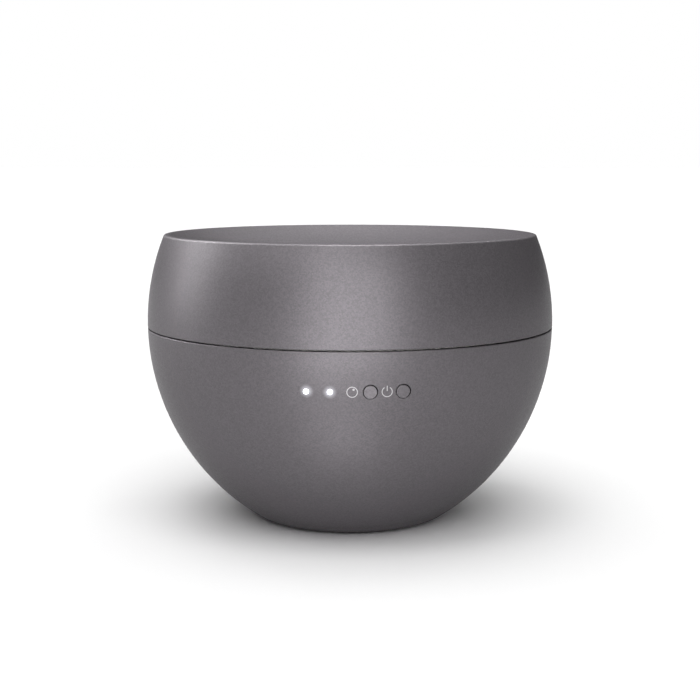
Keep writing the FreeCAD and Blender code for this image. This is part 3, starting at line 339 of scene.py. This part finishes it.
def drawn_metal(name, chip, roughness, line_mm, along):
    """A metal with fine lines: noise that is stretched along the way it was worked."""
    material, tree, shader, place = new_material(name, chip, Metallic=1.0, Roughness=roughness)
    squeeze = [1 / (line_mm * MM)] * 3
    squeeze[along] /= LINE_STRETCH
    pulled = add(tree, "Mapping", {"Vector": place, "Scale": squeeze})
    lines = add(tree, "TexNoise", {"Vector": pulled.outputs["Vector"], "Scale": 1.0})
    matte = add(
        tree,
        "MapRange",
        {
            "Value": lines.outputs["Fac"],
            "To Min": roughness - SMOOTHER_BY,
            "To Max": roughness + ROUGHER_BY,
        },
    )
    tree.links.new(matte.outputs["Result"], shader.inputs["Roughness"])
    relief = add(
        tree, "Bump", {"Height": lines.outputs["Fac"], "Distance": LINE_DEPTH_MM * MM}
    )
    tree.links.new(relief.outputs["Normal"], shader.inputs["Normal"])
    return material


# Cool silver-grey: the screw heads catch the light as small sparks.
zinc_steel = drawn_metal("zinc_plated_steel", "b9b8b4", 0.32, 0.12, Z)
# Brighter and slightly yellow: the socket looks like a plated contact.
nickel_brass = drawn_metal("nickel_plated_brass", "c9c4ba", 0.22, 0.10, Y)
# Dull brown-gold: the bearing's pores take the shine away.
sintered_bronze = drawn_metal("sintered_bronze", "a8825a", 0.45, 0.20, Z)
# Pale and streaked: the fins show the lines of the die.
drawn_aluminium = drawn_metal("drawn_aluminium", "c4c6c8", 0.34, 0.15, Z)

# %% [markdown]
# ## Enamelled copper wire
# Coil and motor poles show rows of round wire under clear enamel. Real turns of wire could be
# modelled, but that takes thousands of faces for a part of 9 mm. A wave texture makes the rows
# instead: raised, and with painted shade that darkens the colour in the grooves. A turn is
# about 0.35 mm, drawn just under 1 mm so that it shows.

# %% Copper winding
TURN_MM = 0.987
WIRE_RELIEF_MM = 0.15
# Painted shade: how dark the colour gets in the grooves between the wires.
PAINTED_GROOVE_SHADE = 0.35
# A wave texture has this many radians in one unit of its vector.
WAVE_RADIANS = 20
# Orange-brown with a bright crest on each wire, against painted shade in the grooves.
COPPER_CHIP = "b8653c"


def copper_winding(name, chip):
    """Rows of wire, wound around a vertical axis, with painted shade in the grooves."""
    material, tree, shader, place = new_material(name, chip, Metallic=0.8, Roughness=0.3)
    scale = 2 * math.pi / WAVE_RADIANS / (TURN_MM * MM)
    turns = add(tree, "TexWave", {"Vector": place, "Scale": scale}, bands_direction="Z")
    # Painted shade: the colour darkens in the grooves between wires, where shade falls.
    vary_colour(tree, shader, chip, turns.outputs["Fac"], PAINTED_GROOVE_SHADE, 1.0)
    relief = add(
        tree, "Bump", {"Height": turns.outputs["Fac"], "Distance": WIRE_RELIEF_MM * MM}
    )
    tree.links.new(relief.outputs["Normal"], shader.inputs["Normal"])
    return material


copper_wire = copper_winding("enamelled_copper_wire", COPPER_CHIP)

# %% [markdown]
# ## Circuit boards
# A board is glass-filled epoxy under green solder mask. Under the mask the copper tracks read
# as slightly lighter lines. Here they are the joints of a brick pattern, 5.75 by 1.25 mm, which
# looks orderly like tracks and needs no drawing. One board lies flat and the other stands up,
# so the second direction of the pattern is the sum of depth and height.

# %% Solder mask over tracks
UNIT_MM = 2.5
BRICK_LONG, BRICK_HIGH = 2.3, 0.5
TRACK_WIDE, TRACK_SOFT = 0.09, 0.3
TRACK_RELIEF_MM = 0.03


def solder_mask(name, chip):
    """Green mask over lighter tracks; it makes the boards read as electronics at a glance."""
    material, tree, shader, place = new_material(name, chip, Roughness=0.32, IOR=1.55)
    axes = add(tree, "SeparateXYZ", {"Vector": place}).outputs
    slant = add(tree, "Math", {0: axes["Y"], 1: axes["Z"]}, operation="ADD")
    flat = add(tree, "CombineXYZ", {"X": axes["X"], "Y": slant.outputs["Value"]})
    tracks = add(
        tree,
        "TexBrick",
        {
            "Vector": flat.outputs["Vector"],
            "Scale": 1 / (UNIT_MM * MM),
            "Mortar Size": TRACK_WIDE,
            "Mortar Smooth": TRACK_SOFT,
            "Brick Width": BRICK_LONG,
            "Row Height": BRICK_HIGH,
            "Color1": linear("0d4227"),
            "Color2": linear("104a2d"),
            "Mortar": linear("2a7a4c"),
        },
    )
    tree.links.new(tracks.outputs["Color"], shader.inputs["Base Color"])
    relief = add(
        tree, "Bump", {"Height": tracks.outputs["Fac"], "Distance": TRACK_RELIEF_MM * MM}
    )
    tree.links.new(relief.outputs["Normal"], shader.inputs["Normal"])
    return material


green_board = solder_mask("solder_mask_over_epoxy", "0f4a2c")

# %% [markdown]
# ## Piezo disc
# The membrane is a ceramic disc with a fired silver electrode in its middle, so the disc is
# silvery inside a radius of 7 mm and bare cream ceramic outside it. Two pieces could carry two
# materials, but the electrode is only a few thousandths of a millimetre thick. So the
# distance from the axis decides, with a soft edge of 0.2 mm.

# %% Piezo ceramic
ELECTRODE_INNER = 6.9 * MM
ELECTRODE_OUTER = 7.1 * MM
CERAMIC_CHIP = "cfc4a8"
SILVER_CHIP = "c9c9c6"


def piezo_disc(name):
    """Cream ceramic with a dull silver middle."""
    material, tree, shader, place = new_material(name, CERAMIC_CHIP, Roughness=0.4)
    level = add(tree, "VectorMath", {0: place, 1: (1, 1, 0)}, operation="MULTIPLY")
    away = add(tree, "VectorMath", {0: level.outputs["Vector"]}, operation="LENGTH")
    inside = add(
        tree,
        "MapRange",
        {
            "Value": away.outputs["Value"],
            "From Min": ELECTRODE_INNER,
            "From Max": ELECTRODE_OUTER,
            "To Min": 1.0,
            "To Max": 0.0,
        },
    ).outputs["Result"]
    colour = add(
        tree,
        "Mix",
        {"Factor": inside, "A": linear(CERAMIC_CHIP), "B": linear(SILVER_CHIP)},
        data_type="RGBA",
    )
    tree.links.new(colour.outputs["Result"], shader.inputs["Base Color"])
    tree.links.new(inside, shader.inputs["Metallic"])
    roughen(tree, shader, place, grain_mm=0.3, depth_mm=0.01)
    return material


ceramic_disc = piezo_disc("fired_piezo_ceramic")

# %% [markdown]
# ## Clear acrylic, lit from behind
# With the lamps on, the rods are so bright that they read as white discs. Real refraction would
# need many light paths to bring the diode's light out of the rod, so emission is set on the
# shader instead. A touch of noise keeps the glow from being perfectly even.

# %% Lit acrylic
UNEVEN_MM = 1.5


def lit_acrylic(name, strength):
    """Clear plastic that glows in a cool white."""
    material, tree, shader, place = new_material(
        name, "f4f6fa", Roughness=0.1, IOR=1.49, Emission_Strength=strength
    )
    noise = add(tree, "TexNoise", {"Vector": place, "Scale": 1 / (UNEVEN_MM * MM)})
    colour = add(
        tree,
        "Mix",
        {"Factor": noise.outputs["Fac"], "A": linear("ffffff"), "B": linear("e8efff")},
        data_type="RGBA",
    )
    tree.links.new(colour.outputs["Result"], shader.inputs["Emission Color"])
    return material


# Bright, but not so much that the rods' ends lose their round shape.
lit_pipe = lit_acrylic("lit_clear_acrylic", 1.6)
# The diodes themselves are the brightest thing inside.
lit_diode = lit_acrylic("lit_epoxy_lens", 4.0)

# %% [markdown]
# ## Insulated leads
# Each lead is a bundle in soft PVC. Its skin has a fine grain, and its gloss lies between those
# of rubber and of hard plastic.

# %% PVC insulation
# Red: the leads are easy to follow from one connector to the next.
red_pvc = moulded(
    "soft_pvc_red", "9c2320", 0.42, grain_mm=0.5, depth_mm=0.02, ior=1.53, mottle=0.05
)

# %% [markdown]
# ## Every piece gets its finish
# The record names a slot for each node, and each slot has one finish. Only the bowl differs
# from the rest of its slot, because of the lamps, so it is looked up by its own name first.

# %% Assign the finishes
SLOT_FINISH = {
    "lacquered_shell": shell_lacquer,
    "tank_plastic": tank_polypropylene,
    "guide_plastic": guide_abs,
    "base_plastic": base_abs,
    "black_plastic": black_nylon,
    "white_plastic": white_nylon,
    "clear_plastic": lit_pipe,
    "lamp": lit_diode,
    "foam": cell_foam,
    "foot_rubber": foot_rubber,
    "silicone": clear_silicone,
    "piezo_ceramic": ceramic_disc,
    "circuit_board": green_board,
    "bare_aluminium": drawn_aluminium,
    "steel": zinc_steel,
    "nickel": nickel_brass,
    "bronze": sintered_bronze,
    "copper_wire": copper_wire,
    "lead_insulation": red_pvc,
}
NODE_FINISH = {"lower_bowl": bowl_lacquer}
for part in record["subparts"]:
    slots = nodes[part["node"]].data.materials
    slots.clear()
    slots.append(NODE_FINISH.get(part["node"], SLOT_FINISH[part["material_slot"]]))
print("finished nodes:", len(record["subparts"]))

# %% [markdown]
# ## Printed marks
# A timer sign and a power sign are pad-printed in pale ink, each to the left of its button.
# Ink is a few hundredths of a millimetre thick and follows the bowl. Such a mark could be a
# pattern in the lacquer, but a thin closed strip, laid on the bowl by casting rays at it,
# stays sharp at any distance.

# %% Lay flat strips on the bowl
INK_PROUD = 0.03 * MM
INK_ROOT = 0.03 * MM
RAY_START_Y = -1.0
CORNERS = 4


def surface_finder(node):
    """Returns a function that drops a point (x, z) onto the node's front."""
    mesh = nodes[node].data
    tree = BVHTree.FromPolygons(
        [vertex.co for vertex in mesh.vertices],
        [tuple(polygon.vertices) for polygon in mesh.polygons],
    )

    def drop(x, z):
        spot, normal, _, _ = tree.ray_cast(Vector((x, RAY_START_Y, z)), Vector((0, 1, 0)))
        return spot, normal

    return drop


on_bowl = surface_finder("lower_bowl")


def ink_piece(name, strokes, finish):
    """One closed thin strip per stroke: pairs of (outer, inner) places, and if it is a ring."""
    shape = bmesh.new()
    for pairs, closed in strokes:
        rows = []
        for outer, inner in pairs:
            row = []
            for (x, z), lift in (
                (outer, INK_PROUD), (inner, INK_PROUD), (inner, -INK_ROOT), (outer, -INK_ROOT)
            ):
                spot, normal = on_bowl(x, z)
                row.append(shape.verts.new(spot + normal * lift))
            rows.append(row)
        count = len(rows) if closed else len(rows) - 1
        for index in range(count):
            here, there = rows[index], rows[(index + 1) % len(rows)]
            for corner in range(CORNERS):
                after = (corner + 1) % CORNERS
                shape.faces.new((here[corner], here[after], there[after], there[corner]))
        if not closed:
            shape.faces.new(rows[0])
            shape.faces.new(list(reversed(rows[-1])))
    bmesh.ops.recalc_face_normals(shape, faces=shape.faces)
    mesh = bpy.data.meshes.new(name)
    shape.to_mesh(mesh)
    shape.free()
    mesh.materials.append(finish)
    piece = bpy.data.objects.new(name, mesh)
    bpy.context.scene.collection.objects.link(piece)
    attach(piece, "base")
    print(name, "faces:", len(mesh.polygons))


# %% [markdown]
# ## Strokes
# Both signs are made of rings, arcs and one upright bar. A stroke is a row of places in pairs,
# one on each of its edges, in millimetres as seen from the front.


# %% Ring, arc and bar
def arc_strip(centre, radius, width, start=0, end=360, steps=72):
    """Pairs of places along a round stroke, clockwise from the top; a full turn is closed."""
    closed = math.isclose(end - start, 360)
    pairs = []
    for step in range(steps if closed else steps + 1):
        angle = math.radians(start + (end - start) * step / steps)
        way = (math.sin(angle), math.cos(angle))
        pairs.append(
            tuple(
                (centre[0] + reach * way[0], centre[1] + reach * way[1])
                for reach in (radius, radius - width)
            )
        )
    return pairs, closed


def bar_strip(x, bottom, top, width, steps=8):
    """Pairs of places along an upright stroke."""
    heights = [bottom + (top - bottom) * step / steps for step in range(steps + 1)]
    return [((x + width / 2, z), (x - width / 2, z)) for z in heights], False


def beside(node, distance):
    """The place (x, z) that far to the left of a node's middle."""
    low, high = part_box(node)
    return (low.x + high.x) / 2 - distance, (low.z + high.z) / 2


TIMER_AWAY = 6.42 * MM
POWER_AWAY = 5.72 * MM
timer_x, timer_z = beside("interval_button", TIMER_AWAY)
power_x, power_z = beside("power_button", POWER_AWAY)
print("timer sign at:", round(timer_x / MM, 2), round(timer_z / MM, 2), "mm")
print("power sign at:", round(power_x / MM, 2), round(power_z / MM, 2), "mm")

# %% [markdown]
# ## The two signs
# The timer sign is a ring with a dot near its top right, like the hand of a clock. The power
# sign is a ring that is open at the top, with a bar through the gap.

# %% Timer sign and power sign
# Pale grey and dull: the signs are easy to find, yet quieter than the lamps.
pale_ink = moulded(
    "pad_printing_ink", "918f91", 0.6, grain_mm=0.3, depth_mm=0.002, ior=1.5, mottle=0.03
)
STROKE = 0.30 * MM
TIMER_RADIUS = 2.0 * MM
DOT_RIGHT, DOT_UP = 0.5 * MM, 0.9 * MM
DOT_RADIUS, DOT_WIDTH = 0.4 * MM, 0.39 * MM
POWER_RADIUS = 1.94 * MM
POWER_GAP = 32
BAR_BOTTOM, BAR_TOP = 0.25 * MM, 2.2 * MM

ring = arc_strip((timer_x, timer_z), TIMER_RADIUS, STROKE)
dot = arc_strip((timer_x + DOT_RIGHT, timer_z + DOT_UP), DOT_RADIUS, DOT_WIDTH, steps=24)
ink_piece("timer_sign", [ring, dot], pale_ink)

arc = arc_strip((power_x, power_z), POWER_RADIUS, STROKE, POWER_GAP, 360 - POWER_GAP)
bar = bar_strip(power_x, power_z + BAR_BOTTOM, power_z + BAR_TOP, STROKE)
ink_piece("power_sign", [arc, bar], pale_ink)

# %% [markdown]
# ## A pale floor
# The object stands on matte white paper that runs on as far as the eye sees. Such paper has no
# gloss, so its specular level is zero, and a faint tooth keeps it from being one flat colour.

# %% Floor
FLOOR_HALF = 30.0
PAPER_TOOTH_MM = 1.5
PAPER_TOOTH_DEPTH_MM = 0.01

floor_mesh = bpy.data.meshes.new("floor")
signs = ((-1, -1), (1, -1), (1, 1), (-1, 1))
floor_mesh.from_pydata(
    [(x * FLOOR_HALF, y * FLOOR_HALF, 0) for x, y in signs], [], [(0, 1, 2, 3)]
)
floor = bpy.data.objects.new("floor", floor_mesh)
bpy.context.scene.collection.objects.link(floor)
paper, tree, shader, place = new_material(
    "matte_white_paper", "ffffff", Roughness=1.0, Specular_IOR_Level=0.0
)
roughen(tree, shader, place, PAPER_TOOTH_MM, PAPER_TOOTH_DEPTH_MM)
floor_mesh.materials.append(paper)
print("floor:", 2 * FLOOR_HALF, "m wide")

# %% [markdown]
# ## Studio light
# The lacquer shows every lamp as a soft bright patch, so the lamps are placed for it. Three
# tall softboxes in front make the broad band, and two low ones carry it on below the seam.
# Those on the left make the bright flank, one stands at the back right, and one overhead
# lights the dish. The floor takes no light from them. It has lamps of its own,
# which the object only shades, so its shadow can be set alone: five wide suns add up to white
# paper with a soft dark pool under the bowl. Light linking keeps the two groups apart. One
# set of lamps for both would be simpler, but then each change to the lacquer's look would
# also change the shadow. The places and sizes of the lamps were chosen one by one. Their
# strengths were worked out by least squares in a scratch program, from renders with one lamp
# each, and then rounded and adjusted.

# %% Light helpers
LIT_MIDDLE = Vector((0, 0, 0.07))
LAMP_DISTANCE = 1.3


def way_to(azimuth, elevation):
    """Direction to a lamp. Azimuth 0 is the front, and it grows towards the right."""
    around, up = math.radians(azimuth), math.radians(elevation)
    return Vector(
        (math.cos(up) * math.sin(around), -math.cos(up) * math.cos(around), math.sin(up))
    )


def place_lamp(lamp, way, floor_state):
    """Puts a lamp that way from the object's middle, facing it; the floor's link is set."""
    holder = bpy.data.objects.new(lamp.name, lamp)
    bpy.context.scene.collection.objects.link(holder)
    holder.location = LIT_MIDDLE + way * LAMP_DISTANCE
    holder.rotation_euler = (-way).to_track_quat("-Z", "Y").to_euler()
    receivers = bpy.data.collections.new(lamp.name + "_receivers")
    receivers.objects.link(floor)
    receivers.collection_objects[0].light_linking.link_state = floor_state
    holder.light_linking.receiver_collection = receivers


print("way to a lamp in front:", tuple(way_to(0, 0)))

# %% Softboxes for the object, suns for the floor
# Name, azimuth and elevation in degrees, width and height in metres, watts.
SOFTBOXES = (
    ("front", 0, 8, 0.35, 1.5, 6),
    ("front_left", -14, 20, 0.35, 1.2, 8),
    ("front_right", 14, 10, 0.35, 1.2, 8),
    ("low_left", -14, -13, 0.5, 0.55, 4.5),
    ("low", -6, -50, 0.6, 0.5, 3.2),
    ("left", -100, 22, 0.5, 1.0, 10),
    ("left_high", -50, 45, 0.6, 0.6, 3.5),
    ("left_back", -125, 40, 0.6, 0.8, 19),
    ("right_back", 150, 45, 0.6, 0.6, 3.5),
    ("overhead", 0, 89, 0.9, 0.9, 30),
)
for name, azimuth, elevation, width, height, watts in SOFTBOXES:
    softbox = bpy.data.lights.new(name + "_softbox", "AREA")
    softbox.shape = "RECTANGLE"
    softbox.size, softbox.size_y = width, height
    softbox.energy = watts
    # Rays that leave the lacquer stop at the floor, so only sampled light reaches past it.
    softbox.cycles.use_multiple_importance_sampling = False
    place_lamp(softbox, way_to(azimuth, elevation), "EXCLUDE")

# Name, azimuth and elevation in degrees, spread in degrees, strength.
FLOOR_SUNS = (
    ("front", 0, 55, 60, 1.5),
    ("back", 180, 55, 60, 0.66),
    ("left", -90, 60, 60, 0.84),
    ("right", 90, 40, 80, 0.6),
    ("high", 0, 90, 40, 0.5),
)
for name, azimuth, elevation, spread, strength in FLOOR_SUNS:
    sun = bpy.data.lights.new(name + "_floor_sun", "SUN")
    sun.angle = math.radians(spread)
    sun.energy = strength
    place_lamp(sun, way_to(azimuth, elevation), "INCLUDE")
# Lamps below the horizon stand for light that a real table throws back up at the bowl.
floor.visible_shadow = False
print("softboxes:", len(SOFTBOXES), "and floor suns:", len(FLOOR_SUNS))

# %% [markdown]
# ## Surround
# The camera sees plain white beyond the floor. For everything else the room is nearly dark, so
# that the lamps alone shape the lacquer. A light path tells camera rays from all others. The
# standard view keeps white paper white and the chips true to their hex values.

# %% World
ROOM_STRENGTH = 0.02
world = bpy.data.worlds.new("studio")
bpy.context.scene.world = world
world.use_nodes = True
room = world.node_tree
room.nodes.clear()
from_camera = add(room, "LightPath").outputs["Is Camera Ray"]
seen = add(room, "MapRange", {"Value": from_camera, "To Min": ROOM_STRENGTH})
glow = add(
    room, "Background", {"Color": linear("ffffff"), "Strength": seen.outputs["Result"]}
)
add(room, "OutputWorld", {"Surface": glow.outputs["Background"]})
bpy.context.scene.view_settings.view_transform = "Standard"
print("room strength:", ROOM_STRENGTH)

# %% [markdown]
# ## Camera
# A product is usually shown from a little above, at arm's length, with a lens long enough to
# keep the ball from bulging. The camera stands half a metre in front of the axis and looks down
# by 8 degrees, so that the dish shows as a narrow ellipse.

# %% Camera
CAMERA_FRONT = 0.5361
CAMERA_UP = 0.14254
LOOK_DOWN = 8.08
LENS_MM = 68.11
SENSOR_MM = 36.0

view = bpy.data.cameras.new("camera")
view.lens = LENS_MM
view.sensor_width = SENSOR_MM
camera = bpy.data.objects.new("camera", view)
bpy.context.scene.collection.objects.link(camera)
camera.location = (0.0, -CAMERA_FRONT, CAMERA_UP)
camera.rotation_euler = (math.radians(90 - LOOK_DOWN), 0, 0)
bpy.context.scene.camera = camera
print("camera at:", tuple(round(v, 4) for v in camera.location))
